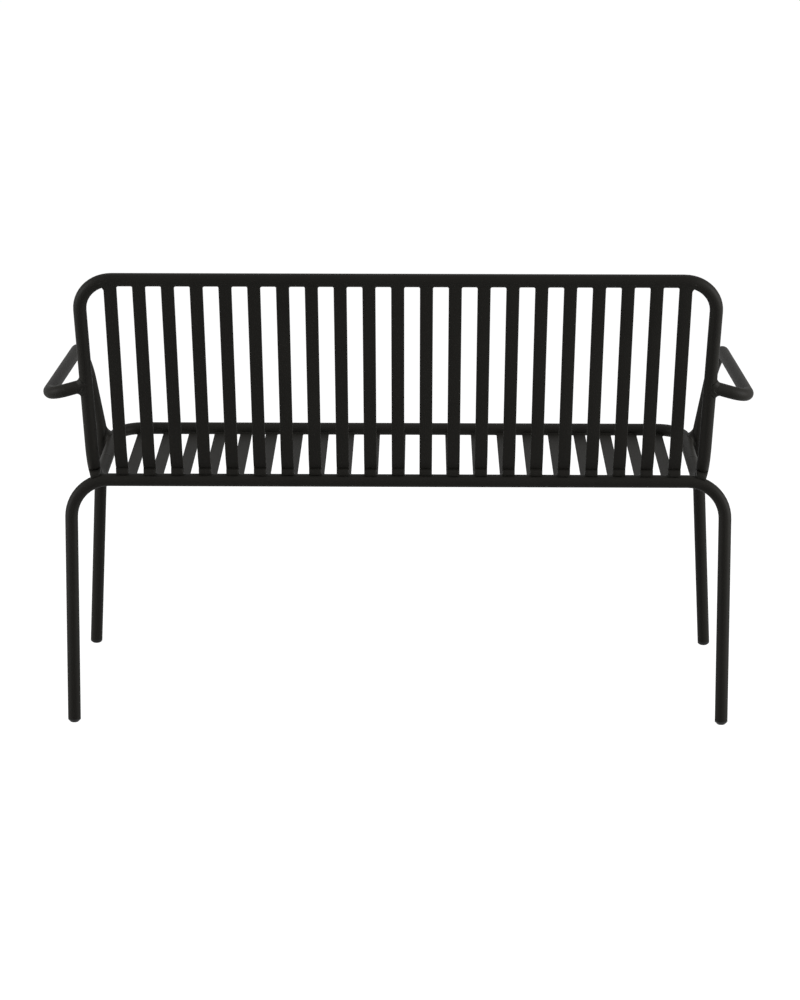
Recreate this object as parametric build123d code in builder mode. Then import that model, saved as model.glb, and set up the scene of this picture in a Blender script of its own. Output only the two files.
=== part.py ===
from build123d import *

import os
from math import acos, cos, radians, sin, sqrt, tan

# Two-seat garden bench welded from bent round tube and bent flat bar.
# All lengths are in millimetres and all angles in degrees. X runs across the width,
# the front faces -Y and +Z is up. The origin is on the floor, under the middle of the
# bench's outline. Points on the side profile are first set out from the crease, where
# the lines of the seat and the back would meet if the tube had no bend there.

# Stock. The tubes are hollow, and their bore is modelled only where a foot cap plugs in:
# along the rest nothing opens or shows it.
tube_od = 22.0
tube_wall = 1.5
slat_width = 21.4
slat_thickness = 5.0
weld_gap = 0.1

# Slat pattern
slat_count = 21
slat_pitch = 47.0
side_gap = 48.5

# Side profile of the loop that carries the slats
crease_height = 397.5
seat_length = 357.0
back_length = 404.0
seat_tilt = 4.7
recline = 17.7
upright_flare = 5.0
rear_bend_radius = 116.0
top_corner_radius = 55.0
front_corner_radius = 49.0
frame_joint_setback = 190.0
slat_recess = 0.5

# Rear leg hoop
hoop_contact_angle = 29.9
hoop_overhang = 39.7
hoop_corner_radius = 64.0
rear_foot_setback = 57.5

# Front leg and arm, one bent tube on each side
arm_weld_setback = 68.0
front_leg_rake = 16.1
front_leg_splay = 4.75
arm_post_rake = 24.2
arm_post_lean = 14.3
arm_front_rise = 190.0
arm_elbow_rise = 177.0
arm_elbow_overhang = 70.6
arm_elbow_setback = 54.5
arm_end_rise = 197.5
knee_bend_radius = 54.0
arm_front_radius = 46.0
arm_elbow_radius = 39.0

# Foot cap, with a stem of two crossed fins
cap_height = 6.5
cap_chamfer = 4.2
cap_stem_length = 22.0
cap_fin_thickness = 2.4
cap_fit_clearance = 0.15
cap_end_room = 8.0

# Length by which construction stock runs past the plane that trims it
overrun = 30.0

# Worked-out radii and places
tube_radius = tube_od / 2
bore_radius = tube_radius - tube_wall
bore_depth = cap_height + cap_stem_length + cap_end_room
stem_radius = bore_radius - cap_fit_clearance
side_x = (slat_count - 1) / 2 * slat_pitch + side_gap
hoop_half_width = side_x + hoop_overhang
slat_outer = tube_radius - slat_recess
slat_inner = slat_outer - slat_thickness

back_rise = Vector(0, sin(radians(recline)), cos(radians(recline)))
back_out = Vector(0, cos(radians(recline)), -sin(radians(recline)))
seat_run = Vector(0, -cos(radians(seat_tilt)), sin(radians(seat_tilt)))
seat_out = Vector(0, -sin(radians(seat_tilt)), -cos(radians(seat_tilt)))
crease_bisector = (back_out + seat_out) * (1 / (1 + back_out.dot(seat_out)))


def across(x, point):
    """The point of the side profile moved to x."""
    return Vector(x, point.Y, point.Z)


def direction(rake, lean, upward):
    """Unit direction of a leg or post that rakes to the front and leans outward."""
    raw = Vector(tan(radians(lean)), -tan(radians(rake)), upward)
    return raw.normalized()


def foot_reach(foot, axis, side):
    """How far back (side 1) or forward (side -1) the widest ring of a foot cap reaches."""
    ring = foot + axis * cap_chamfer
    return ring.Y + side * tube_radius * sqrt(1 - axis.Y**2)


# Side profile, set out from the crease
top_point = back_rise * back_length
front_point = seat_run * seat_length
bend_centre = crease_bisector * -rear_bend_radius
contact = back_out * cos(radians(hoop_contact_angle)) - back_rise * sin(radians(hoop_contact_angle))
hoop_top = bend_centre + contact * (rear_bend_radius + tube_od + weld_gap)
rear_foot = Vector(0, rear_foot_setback, -crease_height)
rear_leg_axis = (across(hoop_half_width, hoop_top) - across(hoop_half_width, rear_foot)).normalized()

# Knee of the arm tube: the bend is placed so that its innermost point lies against the
# side rail, one weld gap away
leg_down = direction(front_leg_rake, front_leg_splay, -1)
post_up = direction(arm_post_rake, arm_post_lean, 1)
knee_inward = (leg_down + post_up).normalized()
knee_normal = leg_down.cross(post_up).normalized()
knee_half_angle = acos(leg_down.dot(post_up)) / 2
knee_to_centre = knee_inward * (knee_bend_radius / sin(knee_half_angle))
innermost = (Vector(-1, 0, 0) + knee_normal * knee_normal.X).normalized()
weld_point = seat_run * (seat_length - arm_weld_setback) + Vector(side_x + tube_od + weld_gap, 0, 0)
knee = weld_point - innermost * knee_bend_radius - knee_to_centre
front_foot = knee + leg_down * ((knee.Z + crease_height) / -leg_down.Z)
arm_front = knee + post_up * ((arm_front_rise - knee.Z) / post_up.Z)
arm_elbow = Vector(side_x + arm_elbow_overhang, arm_elbow_setback, arm_elbow_rise)
upright_foot = Vector(side_x, 0, 0)
upright_top = across(side_x + upright_flare, top_point)
upright_axis = (upright_top - upright_foot).normalized()
arm_end = upright_foot + upright_axis * (arm_end_rise / upright_axis.Z)

# Shift from the crease to the origin
rear_reach = max(top_point.Y + tube_radius, foot_reach(rear_foot, rear_leg_axis, 1))
front_reach = min(front_point.Y - tube_radius, foot_reach(front_foot, -leg_down, -1))
crease = Vector(0, -(rear_reach + front_reach) / 2, crease_height)


def bent_tube(points, radii, radius):
    """Outside of a tube along straight runs joined by tangent bends."""
    with BuildPart() as stock:
        with BuildLine() as route:
            FilletPolyline(*[crease + point for point in points], radius=radii)
        with BuildSketch(Plane(origin=route.line @ 0, z_dir=route.line % 0)):
            Circle(radius)
        sweep()
    return stock.part


def finish(part, name):
    """Names the piece and writes it."""
    part.label = name
    export_step(part, f"parts/{name}.step")


os.makedirs("parts", exist_ok=True)

# Back hoop: rear part of the side rails, uprights and top rail in one tube
joint_point = seat_run * (seat_length - frame_joint_setback)
back_route = [
    across(side_x, joint_point),
    upright_foot,
    upright_top,
    across(-upright_top.X, upright_top),
    across(-side_x, upright_foot),
    across(-side_x, joint_point),
]
back_radii = [rear_bend_radius, top_corner_radius, top_corner_radius, rear_bend_radius]
back_stock = bent_tube(back_route, back_radii, tube_radius)

with BuildPart() as back_hoop:
    add(back_stock)
finish(back_hoop.part, "back_hoop")

# Front hoop: front part of the side rails and the front rail
butt_point = joint_point + seat_run * weld_gap
front_route = [
    across(side_x, butt_point),
    across(side_x, front_point),
    across(-side_x, front_point),
    across(-side_x, butt_point),
]
front_radii = [front_corner_radius, front_corner_radius]
front_stock = bent_tube(front_route, front_radii, tube_radius)

with BuildPart() as front_hoop:
    add(front_stock)
finish(front_hoop.part, "front_hoop")

# Rear leg hoop: two legs and the bar under the back in one tube
rear_leg_run = rear_foot - hoop_top
rear_sole = rear_foot + rear_leg_run * (overrun / rear_leg_run.length)
hoop_route = [
    across(hoop_half_width, rear_sole),
    across(hoop_half_width, hoop_top),
    across(-hoop_half_width, hoop_top),
    across(-hoop_half_width, rear_sole),
]
hoop_radii = [hoop_corner_radius, hoop_corner_radius]
hoop_stock = bent_tube(hoop_route, hoop_radii, tube_radius)

with BuildPart() as rear_leg_hoop:
    add(hoop_stock)
    split(bisect_by=Plane.XY.offset(cap_height + weld_gap), keep=Keep.TOP)
    for foot_x in (hoop_half_width, -hoop_half_width):
        with BuildSketch(Plane(origin=crease + across(foot_x, rear_foot), z_dir=rear_leg_axis)):
            Circle(bore_radius)
        extrude(amount=bore_depth, mode=Mode.SUBTRACT)
finish(rear_leg_hoop.part, "rear_leg_hoop")

# Arm tubes: front leg, post, arm rest and return to the upright, coped round it
arm_route = [
    front_foot + leg_down * overrun,
    knee,
    arm_front,
    arm_elbow,
    arm_end,
]
arm_radii = [knee_bend_radius, arm_front_radius, arm_elbow_radius]
arm_stock = bent_tube(arm_route, arm_radii, tube_radius)
upright_plane = Plane(origin=crease + arm_end, z_dir=upright_axis)

with BuildPart() as arm_leg_left:
    add(arm_stock)
    split(bisect_by=Plane.XY.offset(cap_height + weld_gap), keep=Keep.TOP)
    with BuildSketch(Plane(origin=crease + front_foot, z_dir=-leg_down)):
        Circle(bore_radius)
    extrude(amount=bore_depth, mode=Mode.SUBTRACT)
    with BuildSketch(upright_plane):
        Circle(tube_radius + weld_gap)
    extrude(amount=overrun, both=True, mode=Mode.SUBTRACT)
finish(arm_leg_left.part, "arm_leg_left")

with BuildPart() as arm_leg_right:
    mirror(arm_leg_left.part, about=Plane.YZ)
finish(arm_leg_right.part, "arm_leg_right")

# Slats: flat bars on the outer side of the loop, bent round the crease with it and
# coped to the top rail and the front rail
rail_radius = tube_radius + weld_gap
top_rail_room = bent_tube(back_route[1:5], [top_corner_radius, top_corner_radius], rail_radius)
front_rail_room = bent_tube(front_route, front_radii, rail_radius)

slat_middle = (slat_outer + slat_inner) / 2
slat_profile = [
    top_point + back_out * slat_middle,
    crease_bisector * slat_middle,
    front_point + seat_out * slat_middle,
]

for number in range(slat_count):
    slat_x = side_x - side_gap - number * slat_pitch
    with BuildPart() as slat:
        with BuildLine() as slat_route:
            places = [crease + across(slat_x, point) for point in slat_profile]
            FilletPolyline(*places, radius=rear_bend_radius + slat_middle)
        slat_start = slat_route.line @ 0
        with BuildSketch(Plane(origin=slat_start, x_dir=(1, 0, 0), z_dir=slat_route.line % 0)):
            Rectangle(slat_width, slat_thickness)
        sweep()
        add(top_rail_room, mode=Mode.SUBTRACT)
        add(front_rail_room, mode=Mode.SUBTRACT)
    finish(slat.part, f"slat_{number + 1:02d}")


def foot_cap(point, axis):
    """Foot cap: a turned head cut level at the floor and a stem that plugs into the bore."""
    foot = crease + point
    foot_plane = Plane(origin=foot, z_dir=axis)
    head_top = Plane.XY.offset(cap_height)
    radial = axis.cross(Vector(0, 1, 0)).normalized()
    turning_plane = Plane(origin=foot, x_dir=radial, z_dir=radial.cross(axis))
    nose_radius = tube_radius - 2 * cap_chamfer
    with BuildPart() as stem:
        with BuildSketch(foot_plane):
            Rectangle(tube_od, cap_fin_thickness)
            Rectangle(cap_fin_thickness, tube_od)
            Circle(stem_radius, mode=Mode.INTERSECT)
        extrude(amount=cap_height + cap_stem_length)
        split(bisect_by=head_top, keep=Keep.TOP)
    with BuildPart() as cap:
        with BuildSketch(turning_plane):
            with BuildLine():
                Polyline(
                    (0, -cap_chamfer),
                    (nose_radius, -cap_chamfer),
                    (tube_radius, cap_chamfer),
                    (tube_radius, overrun),
                    (0, overrun),
                    close=True,
                )
            make_face()
        revolve(axis=Axis(foot, axis))
        split(bisect_by=Plane.XY, keep=Keep.TOP)
        split(bisect_by=head_top, keep=Keep.BOTTOM)
        add(stem.part)
    return cap.part


rear_cap_left = foot_cap(across(hoop_half_width, rear_foot), rear_leg_axis)
front_cap_left = foot_cap(front_foot, -leg_down)
for place, left_cap in (("rear", rear_cap_left), ("front", front_cap_left)):
    finish(left_cap, f"foot_cap_{place}_left")
    with BuildPart() as right_cap:
        mirror(left_cap, about=Plane.YZ)
    finish(right_cap.part, f"foot_cap_{place}_right")
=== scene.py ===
from math import acos, cos, pi, radians, sin, sqrt

import bmesh
import bpy
from bpy.props import FloatProperty, FloatVectorProperty, PointerProperty
from mathutils import Matrix, Vector


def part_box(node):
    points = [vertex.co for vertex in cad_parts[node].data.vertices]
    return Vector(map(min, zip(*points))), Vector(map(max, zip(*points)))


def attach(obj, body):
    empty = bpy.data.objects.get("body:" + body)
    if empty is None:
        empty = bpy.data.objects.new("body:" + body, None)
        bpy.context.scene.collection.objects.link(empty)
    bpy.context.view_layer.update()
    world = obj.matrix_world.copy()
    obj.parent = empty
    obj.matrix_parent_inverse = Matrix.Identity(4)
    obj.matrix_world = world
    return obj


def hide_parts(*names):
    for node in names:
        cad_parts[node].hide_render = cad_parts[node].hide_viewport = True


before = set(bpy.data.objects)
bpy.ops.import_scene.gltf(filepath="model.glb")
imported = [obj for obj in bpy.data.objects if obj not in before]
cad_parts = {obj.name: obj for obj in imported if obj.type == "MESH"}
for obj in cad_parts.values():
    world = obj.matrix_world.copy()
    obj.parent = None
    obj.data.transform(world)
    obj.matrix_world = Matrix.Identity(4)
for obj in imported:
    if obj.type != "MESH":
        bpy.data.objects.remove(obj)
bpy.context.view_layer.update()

bl_info = {
    "name": "Garden Bench Dressing",
    "version": (1, 0, 0),
    "blender": (4, 5, 0),
    "location": "View3D > Sidebar > Bench",
    "description": "Rounded slats, weld beads and black powder coat for a tubular garden bench",
    "category": "Object",
}

# Sizes of the bench in metres. X runs across, the front faces -Y and +Z is up.
TUBE_RADIUS = 0.011
WELD_GAP = 0.0001
SLAT_COUNT = 21
SLAT_WIDTH = 0.0214
SLAT_THICKNESS = 0.005
SLAT_RECESS = 0.0005
SLAT_MIDDLE = TUBE_RADIUS - SLAT_RECESS - SLAT_THICKNESS / 2
SIDE_X = 0.5185
UPRIGHT_FLARE = 0.005
BACK_LENGTH = 0.404
SEAT_LENGTH = 0.357
RECLINE = radians(17.7)
SEAT_TILT = radians(4.7)
REAR_BEND = 0.116
TOP_CORNER = 0.055
FRONT_CORNER = 0.049
JOINT_SETBACK = 0.190
BAR_CONTACT = radians(29.9)
BAR_CORNER_X = 0.4942
BAR_CORNER = 0.064
ARM_SETBACK = 0.068
ARM_END_RISE = 0.1975
ARM_ELBOW = Vector((0.5891, 0.0545, 0.177))
KNEE_BEND = 0.054

# The bench's two sides, with the sign that X has there
SIDES = {"left": 1, "right": -1}

# Directions: across the bench to its left, and none at all
ACROSS = Vector((1, 0, 0))
NOWHERE = Vector((0, 0, 0))

# Slat mesh: rings round the rear bend, steps round an edge, and how steeply faces meet where
# an edge stays sharp, there and on the beads
BEND_RINGS = 28
EDGE_STEPS = 4
SHARP_ANGLE = radians(50)

# Beads and knee welds: how far their toes stand off the metal, so that they don't flicker on it
TOE_LIFT = 0.00004

# Welds round a member that ends on a tube: the end slats' welds are larger towards the bend
JOINT_TOE_LIFT = 0.00005
JOINT_ROOT_DEPTH = 0.0008
JOINT_STEPS = 5
JOINT_TOE_LEAN = 0.25
JOINT_RIPPLE = 0.10
HEAVY_SIDE_GAIN = 2.8
SLAT_WELD_FULLNESS = 0.22
SLAT_WELD_STEPS = 3
SLAT_WELD_SPACING = 0.0009
ARM_WELD_FULLNESS = 0.26
ARM_WELD_STEPS = 96

# Beads on the rear bar: the lap is the angle round the bar at which the lower toe lies, and no
# two beads on the slats are quite alike, because waves along the bar vary their reach and lap
BEAD_RINGS = 30
BEAD_STEPS = 12
BEAD_SQUARENESS = 5
BEAD_END_SHARE = 0.999
BEAD_ROOT_LIFT = 0.0002
BEAD_SWELL = 0.0038
BEAD_RIPPLE = 0.0003
BEAD_BULGE = 0.6
BEAD_END_CLIMB = 0.88
BEAD_END_TURN = radians(34)
SLAT_BEAD_LAP = radians(57)
REACH_SPREAD = 0.035
REACH_WAVE = 2.4
LAP_SPREAD = radians(5)
LAP_WAVE = 1.7
UPRIGHT_BEAD_LAP = radians(52)
UPRIGHT_BEAD_HALF_WIDTH = 0.93 * TUBE_RADIUS
UPRIGHT_BEAD_OUTER_CUT = 0.0022
UPRIGHT_BEAD_OUTER_SHIFT = 0.0050

# Weld round the knee: its toe on the side rail, its toe on the knee, and its face. Lines are
# cast from outside the side rail to find the first toe.
CAST_RADIUS = 3 * TUBE_RADIUS
KNEE_WELD_STEPS = 64
KNEE_FACE_STEPS = 7
KNEE_SQUARENESS = 0.6
RAIL_TOE_AHEAD = 0.0175
RAIL_TOE_BEHIND = 0.0120
RAIL_TOE_ABOVE = radians(82)
RAIL_TOE_BELOW = radians(48)
KNEE_TOE_ABOVE = 0.0240
KNEE_TOE_BELOW = 0.0120
KNEE_TOE_REACH = 0.0096
KNEE_LEAN = 1 / 16
KNEE_FULLNESS = 0.24
KNEE_FRONT_FULLNESS = 0.20
KNEE_RIPPLE = 0.04
KNEE_RIPPLE_RADIUS = 0.014
KNEE_CORNER_REACH = 0.0060
KNEE_ROOT_REACH = 0.0030

# Ground-down butt welds of the side rails
BUTT_HALF_WIDTH = 0.0028
BUTT_CROWN = 0.00022
BUTT_TOE_DEPTH = 0.00002
BUTT_ROOT_DEPTH = 0.0004
BUTT_STEPS = 64

# Finishes: scales are features per metre, depths are metres, and the rest are shares
COAT_TONE_SPREAD = 0.15
COAT_DEPTH = 0.0002
PEEL_RELIEF = 0.7
GRAIN_PER_PEEL = 5
GRAIN_RELIEF = 0.3
GRAIN_GLOSS = 0.10
CLOUD_SCALE = 7
CLOUD_CONTRAST = 1.6
CLOUD_GLOSS = 0.06
CAP_DARK = 0.8
CAP_PALE = 1.5
CAP_DEPTH = 0.00012
CAP_RELIEF_STRENGTH = 0.3
SPARK_SCALE = 2600
SCUFF_SCALE = 90
SCUFF_GLOSS = 0.16
SCUFF_RELIEF = 0.4

# A Mix node's colour sockets by number, because its other data types repeat their names
MIX_SHARE = 0
MIX_FIRST = 6
MIX_SECOND = 7
MIX_RESULT = 2

# Stage: greys are shares of white, and sizes are in metres
FLOOR_SIZE = 240
FLOOR_GREY = 0.6
FLOOR_SEEN_GREY = 0.16
FLOOR_GLOW = 0.97
ROOM_GREY = 0.26

# Camera: place behind the crease, downward pitch, turn and roll in radians, and lens in mm
CAMERA_X = -0.03797
CAMERA_DISTANCE = 4.45007
CAMERA_HEIGHT = 1.50634
CAMERA_PITCH = 0.2475
CAMERA_TURN = -0.0078
CAMERA_ROLL = 0.0015
CAMERA_LENS = 96.48
CAMERA_RANGE = 100

# Side profile: the top rail's axis comes from the frame, the rest from the sizes
back_rise = Vector((0, sin(RECLINE), cos(RECLINE)))
back_out = Vector((0, cos(RECLINE), -sin(RECLINE)))
seat_run = Vector((0, -cos(SEAT_TILT), sin(SEAT_TILT)))
seat_out = Vector((0, -sin(SEAT_TILT), -cos(SEAT_TILT)))
hoop_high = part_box("back_hoop")[1]
top_rail = Vector((0, hoop_high.y - TUBE_RADIUS, hoop_high.z - TUBE_RADIUS))
crease = top_rail - back_rise * BACK_LENGTH
front_rail = crease + seat_run * SEAT_LENGTH
bend_angle = acos(back_out.dot(seat_out))
bend_centre = crease - (back_out + seat_out) * (REAR_BEND / (1 + back_out.dot(seat_out)))


def bend_direction(angle):
    """Direction from the centre of the rear bend, turned by angle from the back to the seat."""
    return back_out * cos(angle) - back_rise * sin(angle)


# Rear leg hoop: the axis of its bar, and the way its legs go down from there
bar_axis = bend_centre + bend_direction(BAR_CONTACT) * (REAR_BEND + 2 * TUBE_RADIUS + WELD_GAP)
cap_low, cap_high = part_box("foot_cap_rear_left")
rear_foot = Vector((0, (cap_low.y + cap_high.y) / 2, 0))
leg_down = (rear_foot - bar_axis).normalized()


def across(x, point):
    """The point of the side profile moved to x."""
    return Vector((x, point.y, point.z))


def slat_x(number):
    """Place of a slat's middle across the bench."""
    low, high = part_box(f"slat_{number:02d}")
    return (low.x + high.x) / 2


def corner_drop(x, corner_x, radius):
    """How far a rail has curved away from its straight run at x, where its bend starts at corner_x."""
    past = max(abs(x) - corner_x, 0)
    return radius - sqrt(radius**2 - past**2)


# Shader maths


class Shade:
    """A socket of a node tree; sums, differences and products of it add their Math nodes."""

    def __init__(self, nodes, socket):
        self.nodes = nodes
        self.socket = socket

    def _math(self, operation, first, second):
        return self.nodes.node("ShaderNodeMath", {"operation": operation}, {0: first, 1: second})("Value")

    def __add__(self, other):
        return self._math("ADD", self, other)

    def __sub__(self, other):
        return self._math("SUBTRACT", self, other)

    def __rsub__(self, other):
        return self._math("SUBTRACT", other, self)

    def __mul__(self, other):
        return self._math("MULTIPLY", self, other)

    __radd__ = __add__
    __rmul__ = __mul__


class Nodes:
    """A node tree whose nodes are all added by one method."""

    def __init__(self, tree):
        self.tree = tree
        self.tree.nodes.clear()

    def node(self, kind, settings=None, inputs=None):
        """Adds a node, sets it up, fills or links its sockets and returns a picker of its outputs."""
        made = self.tree.nodes.new(kind)
        for key, value in (settings or {}).items():
            setattr(made, key, value)
        for key, value in (inputs or {}).items():
            if isinstance(value, Shade):
                self.tree.links.new(value.socket, made.inputs[key])
            else:
                made.inputs[key].default_value = value
        return lambda output: Shade(self, made.outputs[output])

    def seen(self):
        """1 for what the camera, gloss or glass sees, and 0 for light that falls on a surface."""
        path = self.node("ShaderNodeLightPath")
        total = path("Is Camera Ray") + path("Is Glossy Ray") + path("Is Transmission Ray")
        return self.node("ShaderNodeClamp", {}, {"Value": total})("Result")

    def either(self, share, first, second):
        """Shader that is first where share is 0 and second where it is 1."""
        return self.node("ShaderNodeMixShader", {}, {0: share, 1: first, 2: second})("Shader")


class Room(Nodes):
    """The world round the bench."""

    def __init__(self, name):
        self.world = bpy.data.worlds.new(name)
        self.world.use_nodes = True
        super().__init__(self.world.node_tree)

    def background(self, level):
        """Light of an even grey from all round."""
        return self.node("ShaderNodeBackground", {}, {"Color": grey(level)})("Background")


class Finish(Nodes):
    """A material."""

    def __init__(self, name):
        self.material = bpy.data.materials.new(name)
        self.material.use_nodes = True
        super().__init__(self.material.node_tree)

    def noise(self, place, scale, detail, roughness=0.5):
        """Noise of the given scale, in features per metre."""
        settings = {"noise_dimensions": "3D"}
        inputs = {"Vector": place, "Scale": scale, "Detail": detail, "Roughness": roughness}
        return self.node("ShaderNodeTexNoise", settings, inputs)("Fac")

    def blend(self, share, first, second):
        """Colour that goes from first to second with share."""
        inputs = {MIX_SHARE: share, MIX_FIRST: first, MIX_SECOND: second}
        return self.node("ShaderNodeMix", {"data_type": "RGBA"}, inputs)(MIX_RESULT)

    def bump(self, height, strength, distance):
        """Normal of a surface that is raised by height times distance, in metres."""
        inputs = {"Strength": strength, "Distance": distance, "Height": height}
        return self.node("ShaderNodeBump", {}, inputs)("Normal")

    def diffuse(self, level):
        """Shader of a matt, even grey."""
        return self.node("ShaderNodeBsdfDiffuse", {}, {"Color": grey(level)})("BSDF")

    def surface(self, shader):
        """The material, once shader is linked to its surface."""
        self.node("ShaderNodeOutputMaterial", {}, {"Surface": shader})
        return self.material


def grey(level):
    """An even grey as red, green, blue and alpha."""
    return (level, level, level, 1)


def tinted(colour, factor):
    """The colour, darker or lighter by a factor, with an alpha of 1."""
    return tuple(part * factor for part in colour) + (1.0,)


def swing(noise, amount):
    """A noise that swings about 0, stretched or shrunk by amount."""
    return (noise - 0.5) * amount


def powder_coat(context):
    """Black powder coat: fine orange peel over the metal, with a barely uneven tone and gloss."""
    name = "black_powder_coat"
    if name in bpy.data.materials:
        return bpy.data.materials[name]
    look = context.scene.bench_look
    finish = Finish(name)
    place = finish.node("ShaderNodeTexCoord")("Object")
    peel = finish.noise(place, look.peel_scale, detail=2)
    grain = finish.noise(place, look.peel_scale * GRAIN_PER_PEEL, detail=2, roughness=0.6)
    cloud = finish.noise(place, CLOUD_SCALE, detail=3, roughness=0.6)
    deep = tinted(look.coat, 1 - COAT_TONE_SPREAD)
    pale = tinted(look.coat, 1 + COAT_TONE_SPREAD)
    relief = peel * PEEL_RELIEF + grain * GRAIN_RELIEF
    shader = finish.node("ShaderNodeBsdfPrincipled", {}, {
        "Base Color": finish.blend(swing(cloud, CLOUD_CONTRAST) + 0.5, deep, pale),
        "Roughness": swing(grain, GRAIN_GLOSS) + swing(cloud, CLOUD_GLOSS) + look.roughness,
        "Specular IOR Level": look.sheen,
        "Normal": finish.bump(relief, look.peel_strength, COAT_DEPTH),
    })("BSDF")
    return finish.surface(shader)


def cap_plastic(context):
    """Black moulded plastic of the foot caps: scuffed, with a fine spark texture."""
    name = "black_cap_plastic"
    if name in bpy.data.materials:
        return bpy.data.materials[name]
    look = context.scene.bench_look
    finish = Finish(name)
    place = finish.node("ShaderNodeTexCoord")("Object")
    spark = finish.noise(place, SPARK_SCALE, detail=2, roughness=0.6)
    scuff = finish.noise(place, SCUFF_SCALE, detail=4, roughness=0.7)
    shader = finish.node("ShaderNodeBsdfPrincipled", {}, {
        "Base Color": finish.blend(scuff, tinted(look.cap, CAP_DARK), tinted(look.cap, CAP_PALE)),
        "Roughness": swing(scuff, SCUFF_GLOSS) + look.cap_roughness,
        "Specular IOR Level": look.cap_sheen,
        "Normal": finish.bump(spark + scuff * SCUFF_RELIEF, CAP_RELIEF_STRENGTH, CAP_DEPTH),
    })("BSDF")
    return finish.surface(shader)


def refinish(node, material):
    """Gives a CAD node a finish in place of its plain one."""
    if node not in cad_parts:
        raise RuntimeError(f"the frame has no node named {node}")
    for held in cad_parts[node].material_slots:
        held.material = material


# Mesh helpers


def skin(mesh, rings, round_trip=False):
    """Joins closed rings of points with quads, and closes both ends unless it is a round trip."""
    rows = [[mesh.verts.new(point) for point in ring] for ring in rings]
    pairs = list(zip(rows, rows[1:]))
    if round_trip:
        pairs.append((rows[-1], rows[0]))
    count = len(rows[0])
    for first, second in pairs:
        for index in range(count):
            after = (index + 1) % count
            mesh.faces.new((first[index], first[after], second[after], second[index]))
    if not round_trip:
        mesh.faces.new(list(reversed(rows[0])))
        mesh.faces.new(rows[-1])


def piece(name, mesh, finish, replaced=()):
    """Turns a bmesh into a smooth piece of the bench that rides on the frame."""
    bmesh.ops.recalc_face_normals(mesh, faces=mesh.faces)
    data = bpy.data.meshes.new(name)
    mesh.to_mesh(data)
    mesh.free()
    made = bpy.data.objects.new(name, data)
    bpy.context.scene.collection.objects.link(made)
    data.materials.append(finish)
    data.shade_smooth()
    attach(made, "root")
    if replaced:
        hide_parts(*replaced)
    return made


def keep_edges(made):
    """Keeps a smooth piece sharp along the edges where its faces meet at a steep angle."""
    made.data.set_sharp_from_angle(angle=SHARP_ANGLE)


def square_to(vector, axis):
    """The part of a vector that is square to an axis of length 1."""
    return vector - axis * vector.dot(axis)


def hollow_curve(corner, first, second, fullness, steps):
    """Points of a weld's face between two toes. Fullness 0 is hollow and 0.5 is flat."""
    middle = corner.lerp((first + second) / 2, 2 * fullness)
    points = []
    for step in range(steps + 1):
        t = step / steps
        points.append(first * (1 - t) ** 2 + middle * (2 * t * (1 - t)) + second * t**2)
    return points


def ripple(distance, pitch):
    """Height of a weld's ripples at a distance along it, from 0 to 1."""
    return abs(cos(pi * distance / pitch))


def squared(value):
    """A sine or cosine of a turn, pulled out so that the round turn becomes a soft square."""
    return (1 if value > 0 else -1) * abs(value) ** KNEE_SQUARENESS


def surface_point(thing, start, along):
    """Where a line from start meets a CAD piece, a hair above its surface."""
    struck, place, normal = thing.ray_cast(start, along)[:3]
    if not struck:
        raise RuntimeError(f"no surface of {thing.name} lies along the line")
    return place + normal * TOE_LIFT


def run_to_tube(point, away, tube_point, tube_axis):
    """How far a point travels along away to reach the surface of a tube."""
    flat = square_to(away, tube_axis)
    offset = square_to(point - tube_point, tube_axis)
    a = flat.dot(flat)
    b = flat.dot(offset)
    c = offset.dot(offset) - TUBE_RADIUS**2
    return (-b + sqrt(max(b * b - a * c, 0.0))) / a


def joint_weld(mesh, outline, away, tube_point, tube_axis, leg, fullness, heavy_side, ripple_pitch):
    """Weld all round a member that ends on a tube.

    outline holds (point, normal) round the member's section, and away is the direction in
    which the member leaves the tube, whose axis passes through tube_point. The leg is longest
    on the heavy side, unless that is NOWHERE.
    """
    rings = []
    travelled = 0.0
    last = None
    for point, normal in outline:
        leg_here = leg * (1 + HEAVY_SIDE_GAIN * max(normal.dot(heavy_side), 0))
        corner = point + away * run_to_tube(point, away, tube_point, tube_axis)
        wall = square_to(corner - tube_point, tube_axis).normalized()
        spread = (square_to(normal, wall) - square_to(away, wall) * JOINT_TOE_LEAN).normalized()
        if last is not None:
            travelled += (corner - last).length
        last = corner
        member_toe = corner + away * leg_here + normal * JOINT_TOE_LIFT
        tube_toe = corner + spread * leg_here
        out = square_to(tube_toe - tube_point, tube_axis)
        tube_toe += out.normalized() * (TUBE_RADIUS + JOINT_TOE_LIFT - out.length)
        fill = fullness * (1 + JOINT_RIPPLE * ripple(travelled, ripple_pitch))
        root = corner - (normal + wall) * JOINT_ROOT_DEPTH
        rings.append([root] + hollow_curve(corner, member_toe, tube_toe, fill, JOINT_STEPS))
    skin(mesh, rings, round_trip=True)


def rounded_bar(centre, out, edge_radius, steps):
    """(point, normal) round the section of a slat with rounded edges, whose outer face is out."""
    outline = []
    half_width = SLAT_WIDTH / 2 - edge_radius
    half_thickness = SLAT_THICKNESS / 2 - edge_radius
    for quarter, (x_sign, out_sign) in enumerate(((1, 1), (-1, 1), (-1, -1), (1, -1))):
        for step in range(steps + 1):
            angle = pi / 2 * (quarter + step / steps)
            normal = ACROSS * cos(angle) + out * sin(angle)
            corner = centre + ACROSS * (x_sign * half_width) + out * (out_sign * half_thickness)
            outline.append((corner + normal * edge_radius, normal))
    return outline


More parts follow.
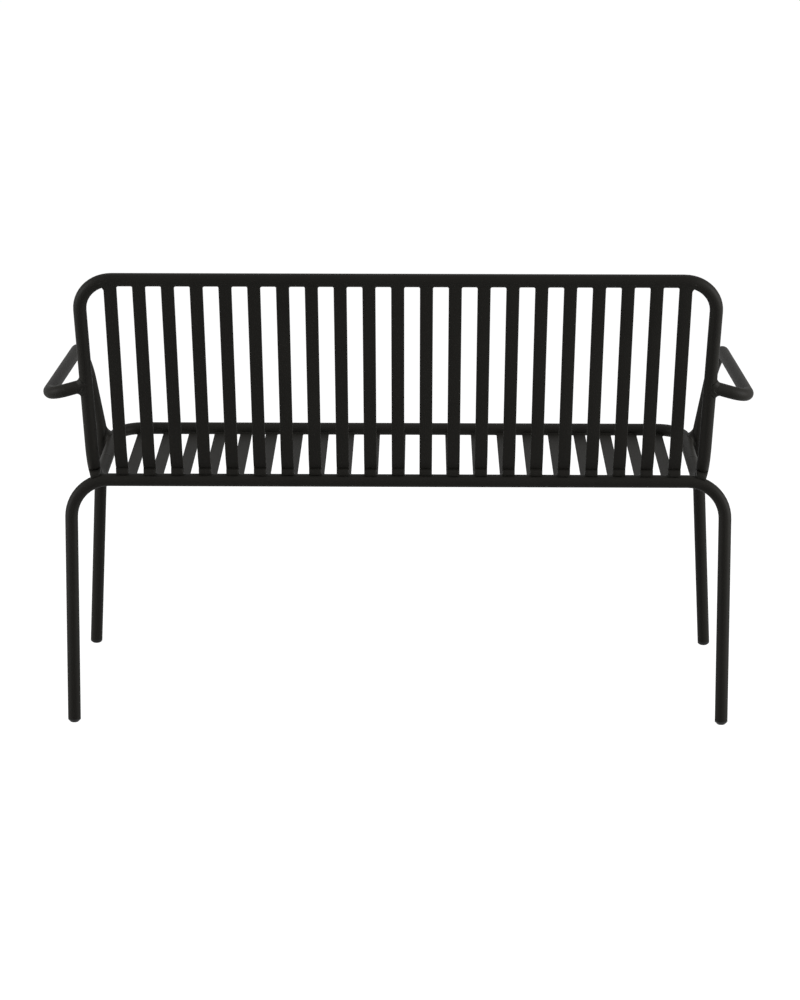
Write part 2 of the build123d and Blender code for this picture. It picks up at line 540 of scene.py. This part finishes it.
def even_outline(outline, gap):
    """Adds points to an outline so that its long sides have one about every gap."""
    dense = []
    for index, (point, normal) in enumerate(outline):
        after, after_normal = outline[(index + 1) % len(outline)]
        parts = max(1, int((after - point).length / gap))
        for part in range(parts):
            share = part / parts
            dense.append((point.lerp(after, share), normal.lerp(after_normal, share).normalized()))
    return dense


# Sizes and colours


class BenchLook(bpy.types.PropertyGroup):
    """Colours and surface of the bench."""

    coat: FloatVectorProperty(
        name="Coat colour", description="Colour of the powder coat",
        subtype="COLOR", size=3, min=0, max=1, default=(0.0098, 0.0093, 0.0081))
    roughness: FloatProperty(
        name="Roughness", description="Roughness of the powder coat",
        subtype="FACTOR", min=0, max=1, default=0.52)
    sheen: FloatProperty(
        name="Sheen", description="Strength of the powder coat's reflections",
        subtype="FACTOR", min=0, max=1, default=0.040)
    peel_scale: FloatProperty(
        name="Peel scale", description="Orange peel features per metre",
        min=50, max=2000, default=420)
    peel_strength: FloatProperty(
        name="Peel strength", description="Strength of the orange peel",
        subtype="FACTOR", min=0, max=1, default=0.35)
    cap: FloatVectorProperty(
        name="Cap colour", description="Colour of the plastic foot caps",
        subtype="COLOR", size=3, min=0, max=1, default=(0.0130, 0.0130, 0.0127))
    cap_roughness: FloatProperty(
        name="Cap roughness", description="Roughness of the foot caps",
        subtype="FACTOR", min=0, max=1, default=0.42)
    cap_sheen: FloatProperty(
        name="Cap sheen", description="Strength of the foot caps' reflections",
        subtype="FACTOR", min=0, max=1, default=0.08)


class BenchSizes(bpy.types.PropertyGroup):
    """Small sizes of the slats and the welds."""

    slat_edge: FloatProperty(
        name="Slat edge radius", description="Rounding along the edges of the flat bar",
        unit="LENGTH", min=0.0002, max=0.0024, default=0.0012)
    slat_weld: FloatProperty(
        name="Slat weld leg", description="Leg of the welds at both ends of a slat",
        unit="LENGTH", min=0.001, max=0.008, default=0.0023)
    arm_weld: FloatProperty(
        name="Arm weld leg", description="Leg of the weld between an arm and its upright",
        unit="LENGTH", min=0.002, max=0.012, default=0.0062)
    bar_weld: FloatProperty(
        name="Bar weld reach", description="How far a weld climbs from the rear bar up a slat",
        unit="LENGTH", min=0.004, max=0.024, default=0.0188)
    upright_weld: FloatProperty(
        name="Upright weld reach", description="How far a weld climbs from the rear bar up an upright",
        unit="LENGTH", min=0.004, max=0.024, default=0.0110)
    ripple_pitch: FloatProperty(
        name="Ripple pitch", description="Distance between the ripples of a weld",
        unit="LENGTH", min=0.0008, max=0.005, default=0.0022)


# Operators


class BENCH_OT_tubes(bpy.types.Operator):
    """Coats the five bent tubes, which keep the frame's own shape"""

    bl_idname = "bench.tubes"
    bl_label = "Tubes"

    def execute(self, context):
        for node in ("back_hoop", "front_hoop", "rear_leg_hoop", "arm_leg_left", "arm_leg_right"):
            refinish(node, powder_coat(context))
        return {"FINISHED"}


class BENCH_OT_slats(bpy.types.Operator):
    """Bends the flat bars of the seat and the back, with rounded edges"""

    bl_idname = "bench.slats"
    bl_label = "Slats"

    def execute(self, context):
        edge_radius = context.scene.bench_sizes.slat_edge
        stations = [(top_rail + back_out * SLAT_MIDDLE, back_out)]
        for ring in range(BEND_RINGS + 1):
            out = bend_direction(bend_angle * ring / BEND_RINGS)
            stations.append((bend_centre + out * (REAR_BEND + SLAT_MIDDLE), out))
        stations.append((front_rail + seat_out * SLAT_MIDDLE, seat_out))
        for number in range(1, SLAT_COUNT + 1):
            x = slat_x(number)
            rings = []
            for centre, out in stations:
                section = rounded_bar(across(x, centre), out, edge_radius, EDGE_STEPS)
                rings.append([point for point, normal in section])
            mesh = bmesh.new()
            skin(mesh, rings)
            replaced = (f"slat_{number:02d}",)
            keep_edges(piece(f"bar_{number:02d}", mesh, powder_coat(context), replaced))
        return {"FINISHED"}


class BENCH_OT_slat_welds(bpy.types.Operator):
    """Lays the welds that hold the slats to the top rail and to the front rail"""

    bl_idname = "bench.slat_welds"
    bl_label = "Slat welds"

    def execute(self, context):
        sizes = context.scene.bench_sizes
        bend_sides = {1: ACROSS, SLAT_COUNT: -ACROSS}
        top_corner_x = SIDE_X + UPRIGHT_FLARE - TOP_CORNER
        front_corner_x = SIDE_X - FRONT_CORNER
        rails = (
            ("top_rail_welds", top_rail, back_out, -back_rise, top_corner_x, TOP_CORNER),
            ("front_rail_welds", front_rail, seat_out, -seat_run, front_corner_x, FRONT_CORNER),
        )
        for name, rail, out, away, corner_x, corner in rails:
            mesh = bmesh.new()
            for number in range(1, SLAT_COUNT + 1):
                x = slat_x(number)
                rail_here = across(x, rail) + away * corner_drop(x, corner_x, corner)
                centre = rail_here + out * SLAT_MIDDLE
                section = rounded_bar(centre, out, sizes.slat_edge, SLAT_WELD_STEPS)
                outline = even_outline(section, SLAT_WELD_SPACING)
                joint_weld(mesh, outline, away, rail_here, ACROSS, sizes.slat_weld, SLAT_WELD_FULLNESS,
                           bend_sides.get(number, NOWHERE), sizes.ripple_pitch)
            piece(name, mesh, powder_coat(context))
        return {"FINISHED"}


class BENCH_OT_bar_welds(bpy.types.Operator):
    """Lays the welds between the slats, the uprights and the bar of the rear leg hoop"""

    bl_idname = "bench.bar_welds"
    bl_label = "Rear bar welds"

    def execute(self, context):
        sizes = context.scene.bench_sizes
        mesh = bmesh.new()
        for number in range(1, SLAT_COUNT + 1):
            reach = sizes.bar_weld * (1 + REACH_SPREAD * sin(REACH_WAVE * number))
            lap = SLAT_BEAD_LAP + LAP_SPREAD * sin(LAP_WAVE * number + 1)
            self.bead(mesh, slat_x(number), SLAT_WIDTH / 2, reach, lap, 0, sizes.ripple_pitch)
        for side in SIDES.values():
            self.bead(mesh, side * SIDE_X, UPRIGHT_BEAD_HALF_WIDTH, sizes.upright_weld,
                      UPRIGHT_BEAD_LAP, side, sizes.ripple_pitch)
        keep_edges(piece("rear_bar_welds", mesh, powder_coat(context)))
        return {"FINISHED"}

    def bead(self, mesh, x, half_width, reach, lap, side, ripple_pitch):
        """A bead that fills the gap over the bar and climbs a slat or, unless side is 0, an upright.

        Its rings lie side by side across the bench, and closer together near its ends. A ring's
        upper toe is placed from the centre of the rear bend, and its lower toe from the bar's
        axis. The bead is full along its middle and falls off to its ends, as body says, which
        stays above 0 so that no ring closes up.
        """
        rings = []
        for ring in range(BEAD_RINGS + 1):
            share = sin((-1 + 2 * ring / BEAD_RINGS) * pi / 2)
            here_x = x + share * half_width
            body = (1 - min(abs(share), BEAD_END_SHARE) ** BEAD_SQUARENESS) ** (1 / BEAD_SQUARENESS)
            outer = max(side * share, 0)
            shell = REAR_BEND + TUBE_RADIUS - SLAT_RECESS
            if side:
                shell = REAR_BEND + sqrt(TUBE_RADIUS**2 - (share * half_width) ** 2)
            climb = reach * (BEAD_END_CLIMB + (1 - BEAD_END_CLIMB) * body) - UPRIGHT_BEAD_OUTER_CUT * outer
            upper = bend_direction(BAR_CONTACT - climb / shell)
            high = across(here_x, bend_centre + upper * (shell + TOE_LIFT))
            drop = corner_drop(here_x, BAR_CORNER_X, BAR_CORNER)
            level = 1 - drop / BAR_CORNER
            turn = lap + BEAD_END_TURN * (1 - body)
            lower = Vector((0, cos(turn), sin(turn) / level))
            low = across(here_x, bar_axis) + leg_down * drop + lower * (TUBE_RADIUS + TOE_LIFT)
            low.x -= side * UPRIGHT_BEAD_OUTER_SHIFT * outer
            root = across(here_x, bend_centre + bend_direction(BAR_CONTACT) * (shell + BEAD_ROOT_LIFT))
            chord = high - low
            out = Vector((0, chord.z, -chord.y)).normalized()
            swell = BEAD_SWELL * body + BEAD_RIPPLE * ripple(here_x - x + half_width, ripple_pitch)
            face = []
            for step in range(BEAD_STEPS + 1):
                t = step / BEAD_STEPS
                face.append(high.lerp(low, t) + out * (swell * (4 * t * (1 - t)) ** BEAD_BULGE))
            rings.append([root] + face)
        skin(mesh, rings)


class BENCH_OT_arm_welds(bpy.types.Operator):
    """Lays the welds that join each arm tube to its upright and to the side rail"""

    bl_idname = "bench.arm_welds"
    bl_label = "Arm welds"

    def execute(self, context):
        sizes = context.scene.bench_sizes
        for label, side in SIDES.items():
            mesh = bmesh.new()
            self.upright_weld(mesh, side, sizes)
            self.knee_weld(mesh, label, side, sizes)
            piece(f"arm_welds_{label}", mesh, powder_coat(context))
        return {"FINISHED"}

    def upright_weld(self, mesh, side, sizes):
        """Weld all round the end of the arm tube, set out on the left and flipped for the right."""
        flip = Matrix.Diagonal((side, 1, 1))
        upright = (Vector((UPRIGHT_FLARE, 0, 0)) + back_rise * BACK_LENGTH).normalized()
        end = Vector((SIDE_X, 0, 0)) + upright * (ARM_END_RISE / upright.z)
        away = (ARM_ELBOW - end).normalized()
        first = upright.cross(away).normalized()
        second = away.cross(first)
        outline = []
        for step in range(ARM_WELD_STEPS):
            angle = 2 * pi * step / ARM_WELD_STEPS
            normal = first * cos(angle) + second * sin(angle)
            outline.append((flip @ (crease + end + normal * TUBE_RADIUS), flip @ normal))
        joint_weld(mesh, outline, flip @ away, flip @ (crease + end), flip @ upright,
                   sizes.arm_weld, ARM_WELD_FULLNESS, NOWHERE, sizes.ripple_pitch)

    def knee_weld(self, mesh, label, side, sizes):
        """Weld round the spot where the knee of the arm tube lies against the side rail.

        Each step goes one way round the spot. The weld's toes are found by casting lines onto
        the rail and onto the knee, and its face is hollow between them.
        """
        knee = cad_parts[f"arm_leg_{label}"]
        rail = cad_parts["front_hoop"]
        outward = ACROSS * side
        spot = across(side * (SIDE_X + TUBE_RADIUS), crease + seat_run * (SEAT_LENGTH - ARM_SETBACK))
        rings = []
        for step in range(KNEE_WELD_STEPS):
            angle = 2 * pi * step / KNEE_WELD_STEPS
            ahead, up = squared(cos(angle)), squared(sin(angle))
            along_rail = ahead * (RAIL_TOE_AHEAD if ahead > 0 else RAIL_TOE_BEHIND)
            round_rail = up * (RAIL_TOE_ABOVE if up > 0 else RAIL_TOE_BELOW)
            facing = outward * cos(round_rail) - seat_out * sin(round_rail)
            rail_axis = spot - outward * TUBE_RADIUS + seat_run * along_rail
            rail_toe = surface_point(rail, rail_axis + facing * CAST_RADIUS, -facing)
            height = up * (KNEE_TOE_ABOVE if up > 0 else KNEE_TOE_BELOW)
            lean = height**2 / (2 * KNEE_BEND) + height * KNEE_LEAN
            start = spot + seat_run * (KNEE_TOE_REACH * ahead + lean) - seat_out * height
            knee_toe = surface_point(knee, start, outward)
            fill = KNEE_FULLNESS + KNEE_FRONT_FULLNESS * max(ahead, 0) * max(up, 0)
            fill += KNEE_RIPPLE * ripple(KNEE_RIPPLE_RADIUS * angle, sizes.ripple_pitch)
            heading = seat_run * ahead - seat_out * up
            corner = spot + heading * KNEE_CORNER_REACH
            root = spot + heading * KNEE_ROOT_REACH
            rings.append([root] + hollow_curve(corner, rail_toe, knee_toe, fill, KNEE_FACE_STEPS))
        skin(mesh, rings, round_trip=True)


class BENCH_OT_rail_joints(bpy.types.Operator):
    """Lays the dressed butt welds between the back hoop and the front hoop"""

    bl_idname = "bench.rail_joints"
    bl_label = "Side rail joints"

    def execute(self, context):
        section = []
        for share in (-1, -0.6, -0.2, 0.2, 0.6, 1):
            section.append((share, BUTT_CROWN * (1 - share**2) - BUTT_TOE_DEPTH))
        section += [(1, -BUTT_ROOT_DEPTH), (-1, -BUTT_ROOT_DEPTH)]
        for label, side in SIDES.items():
            spot = across(side * SIDE_X, crease + seat_run * (SEAT_LENGTH - JOINT_SETBACK))
            rings = []
            for step in range(BUTT_STEPS):
                angle = 2 * pi * step / BUTT_STEPS
                out = ACROSS * cos(angle) + seat_out * sin(angle)
                ring = []
                for share, height in section:
                    ring.append(spot + seat_run * (share * BUTT_HALF_WIDTH) + out * (TUBE_RADIUS + height))
                rings.append(ring)
            mesh = bmesh.new()
            skin(mesh, rings, round_trip=True)
            piece(f"rail_joint_{label}", mesh, powder_coat(context))
        return {"FINISHED"}


class BENCH_OT_foot_caps(bpy.types.Operator):
    """Gives the foot caps their moulded plastic"""

    bl_idname = "bench.foot_caps"
    bl_label = "Foot caps"

    def execute(self, context):
        for end in ("rear", "front"):
            for label in SIDES:
                refinish(f"foot_cap_{end}_{label}", cap_plastic(context))
        return {"FINISHED"}


class BENCH_OT_stage(bpy.types.Operator):
    """Sets up the white floor, the soft boxes and the camera behind the bench"""

    bl_idname = "bench.stage"
    bl_label = "Stage"

    def execute(self, context):
        self.floor(context)
        self.room(context)
        self.lamp(context, "top_box", (0, -1.2, 3.0), target=(0, 0, 0.4), size=(2.4, 1.6), watts=19)
        self.lamp(context, "rear_box", (0, 2.3, 3.1), target=(0, 0, 0.5), size=(2.4, 1.2), watts=24)
        self.lamp(context, "left_box", (3.0, 0.8, 1.1), target=(0, 0, 0.5), size=(0.7, 1.9), watts=102)
        self.lamp(context, "right_box", (-3.0, 0.8, 1.1), target=(0, 0, 0.5), size=(0.7, 1.9), watts=142)
        self.camera(context)
        context.scene.view_settings.view_transform = "Standard"
        return {"FINISHED"}

    def floor(self, context):
        """A pale floor that shows white, except where the bench shades it."""
        bpy.ops.mesh.primitive_plane_add(size=FLOOR_SIZE)
        ground = context.object
        ground.name = "floor"
        finish = Finish("white_floor")
        glow = finish.node("ShaderNodeEmission", {}, {"Strength": FLOOR_GLOW})("Emission")
        shaded = finish.diffuse(FLOOR_SEEN_GREY)
        white = finish.node("ShaderNodeAddShader", {}, {0: shaded, 1: glow})("Shader")
        shader = finish.either(finish.seen(), finish.diffuse(FLOOR_GREY), white)
        ground.data.materials.append(finish.surface(shader))

    def room(self, context):
        """A plain grey room that the camera, gloss and glass see as white."""
        room = Room("white_room")
        shader = room.either(room.seen(), room.background(ROOM_GREY), room.background(1))
        room.node("ShaderNodeOutputWorld", {}, {"Surface": shader})
        context.scene.world = room.world

    def lamp(self, context, name, place, target, size, watts):
        """A soft box at place that faces target, with size as its width and height."""
        data = bpy.data.lights.new(name, "AREA")
        data.shape = "RECTANGLE"
        data.size, data.size_y = size
        data.energy = watts
        made = bpy.data.objects.new(name, data)
        made.location = place
        made.rotation_euler = (Vector(target) - Vector(place)).to_track_quat("-Z", "Y").to_euler()
        context.scene.collection.objects.link(made)

    def camera(self, context):
        """A long lens behind the bench, a little above it, aimed slightly down."""
        right = Vector((-cos(CAMERA_TURN), sin(CAMERA_TURN), 0))
        level = Vector((-sin(CAMERA_TURN), -cos(CAMERA_TURN), 0))
        upright = Vector((0, 0, 1))
        view = level * cos(CAMERA_PITCH) - upright * sin(CAMERA_PITCH)
        up = level * sin(CAMERA_PITCH) + upright * cos(CAMERA_PITCH)
        image_right = right * cos(CAMERA_ROLL) + up * sin(CAMERA_ROLL)
        image_up = up * cos(CAMERA_ROLL) - right * sin(CAMERA_ROLL)
        data = bpy.data.cameras.new("camera")
        data.lens = CAMERA_LENS
        data.clip_end = CAMERA_RANGE
        made = bpy.data.objects.new("camera", data)
        place = Matrix.Translation((CAMERA_X, crease.y + CAMERA_DISTANCE, CAMERA_HEIGHT))
        made.matrix_world = place @ Matrix((image_right, image_up, -view)).transposed().to_4x4()
        context.scene.collection.objects.link(made)
        context.scene.camera = made


class BENCH_PT_dressing(bpy.types.Panel):
    """Lists the bench's pieces and sizes"""

    bl_idname = "BENCH_PT_dressing"
    bl_label = "Garden bench"
    bl_space_type = "VIEW_3D"
    bl_region_type = "UI"
    bl_category = "Bench"

    def draw(self, context):
        layout = self.layout
        for group in (context.scene.bench_look, context.scene.bench_sizes):
            for name in group.__annotations__:
                layout.prop(group, name)
        for step in STEPS:
            layout.operator(step.bl_idname)


STEPS = (
    BENCH_OT_tubes,
    BENCH_OT_slats,
    BENCH_OT_slat_welds,
    BENCH_OT_bar_welds,
    BENCH_OT_arm_welds,
    BENCH_OT_rail_joints,
    BENCH_OT_foot_caps,
    BENCH_OT_stage,
)
CLASSES = (BenchLook, BenchSizes) + STEPS + (BENCH_PT_dressing,)


def register():
    for kind in CLASSES:
        bpy.utils.register_class(kind)
    bpy.types.Scene.bench_look = PointerProperty(type=BenchLook)
    bpy.types.Scene.bench_sizes = PointerProperty(type=BenchSizes)


def unregister():
    del bpy.types.Scene.bench_sizes
    del bpy.types.Scene.bench_look
    for kind in reversed(CLASSES):
        bpy.utils.unregister_class(kind)


def main():
    """Runs every operator in order."""
    register()
    for step in STEPS:
        group, name = step.bl_idname.split(".")
        getattr(getattr(bpy.ops, group), name)()


if __name__ == "__main__":
    main()
